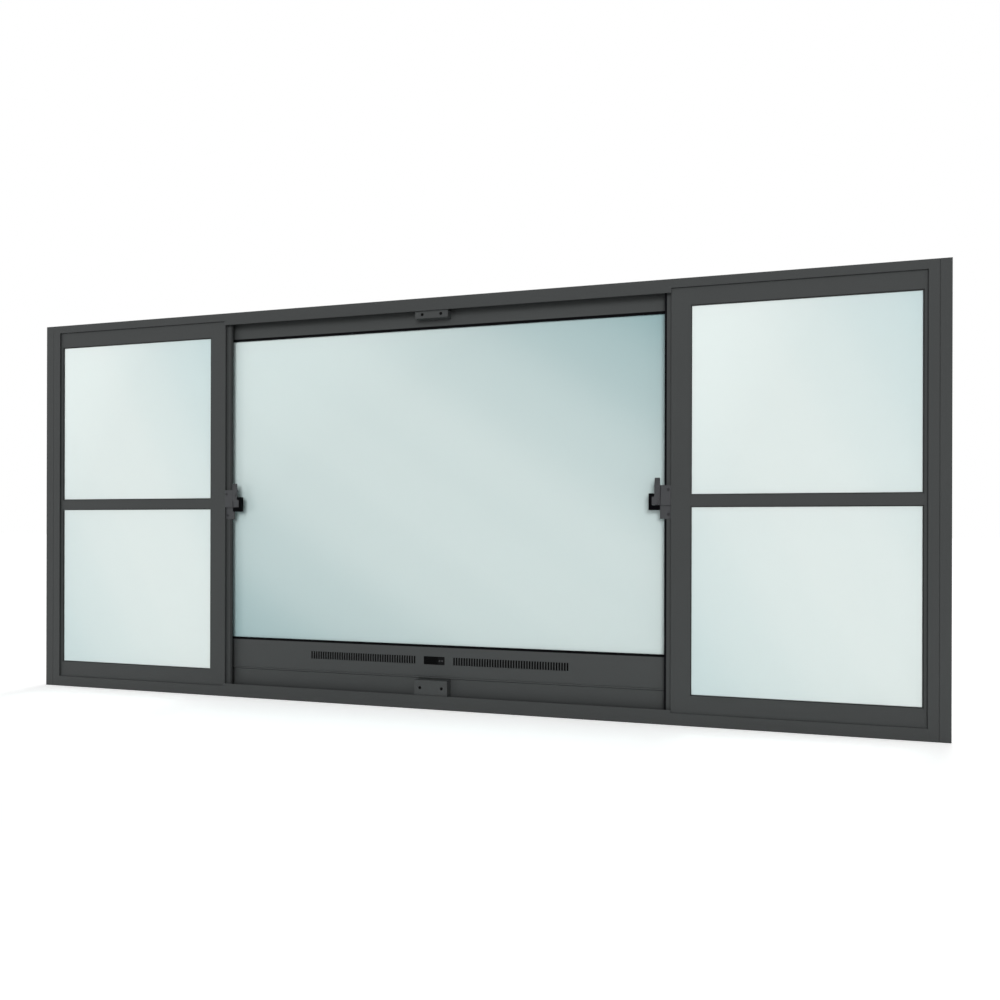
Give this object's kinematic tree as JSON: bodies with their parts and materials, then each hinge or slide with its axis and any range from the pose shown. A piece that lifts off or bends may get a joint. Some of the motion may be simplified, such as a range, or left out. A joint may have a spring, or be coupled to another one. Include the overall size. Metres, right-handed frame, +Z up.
{
  "type": "three-part sliding window",
  "caption": "Wide dark grey window: fixed centre glass over a vented panel with a small display, and a sliding sash with a glazing bar and latch on each side.",
  "frame": {"origin": "middle of the sill's flat underside, at the bottom centre of the window", "axes": "+X along the window to the viewer's right, +Y from the latch side to the rear, +Z up"},
  "size_m": [2.86, 0.12, 1.25],
  "materials": {
    "frame_coat": "dark grey powder coat, fine texture",
    "sash_coat": "dark grey powder coat, fine texture",
    "centre_coat": "dark grey powder coat, fine texture",
    "track_metal": "mill finish, worn bright along the top",
    "clear_glass": "polished float glass, faint green tint",
    "spacer_metal": "bright aluminium spacer bar",
    "gasket_rubber": "matt black glazing rubber",
    "seal_rubber": "matt black brush seal",
    "roller_nylon": "pale nylon",
    "filter_mesh": "black filter fleece",
    "display_gloss": "black gloss display",
    "stop_coat": "dark grey powder coat",
    "latch_coat": "satin dark grey coat",
    "catch_nylon": "black nylon",
    "block_plastic": "dark setting block"
  },
  "bodies": {
    "root": {"frame_head": "frame_coat", "frame_sill": "frame_coat", "frame_jamb_left": "frame_coat", "frame_jamb_right": "frame_coat", "roller_track": "track_metal", "centre_top_rail": "centre_coat", "centre_stile_left": "centre_coat", "centre_stile_right": "centre_coat", "ventilation_panel": "centre_coat", "ventilation_housing": "centre_coat", "vent_filters": "filter_mesh", "display_module": "display_gloss", "centre_glass": "clear_glass", "centre_glass_spacer": "spacer_metal", "centre_gaskets": "gasket_rubber", "centre_glazing_beads": "centre_coat", "glass_setting_blocks": "block_plastic", "stop_blocks": "stop_coat", "cover_strips": "frame_coat", "sash_left_outer_stile": "sash_coat", "sash_left_meeting_stile": "sash_coat", "sash_left_top_rail": "sash_coat", "sash_left_bottom_rail": "sash_coat", "sash_left_glazing_bar": "sash_coat", "sash_left_glass": "clear_glass", "sash_left_glass_spacers": "spacer_metal", "sash_left_gaskets": "gasket_rubber", "sash_left_interlock_seal": "seal_rubber", "sash_left_rollers": "roller_nylon", "latch_left_base": "latch_coat", "latch_left_lever": "latch_coat", "latch_left_catch": "catch_nylon", "sash_right_outer_stile": "sash_coat", "sash_right_meeting_stile": "sash_coat", "sash_right_top_rail": "sash_coat", "sash_right_bottom_rail": "sash_coat", "sash_right_glazing_bar": "sash_coat", "sash_right_glass": "clear_glass", "sash_right_glass_spacers": "spacer_metal", "sash_right_gaskets": "gasket_rubber", "sash_right_interlock_seal": "seal_rubber", "sash_right_rollers": "roller_nylon", "latch_right_base": "latch_coat", "latch_right_lever": "latch_coat", "latch_right_catch": "catch_nylon"}
  },
  "joints": []
}
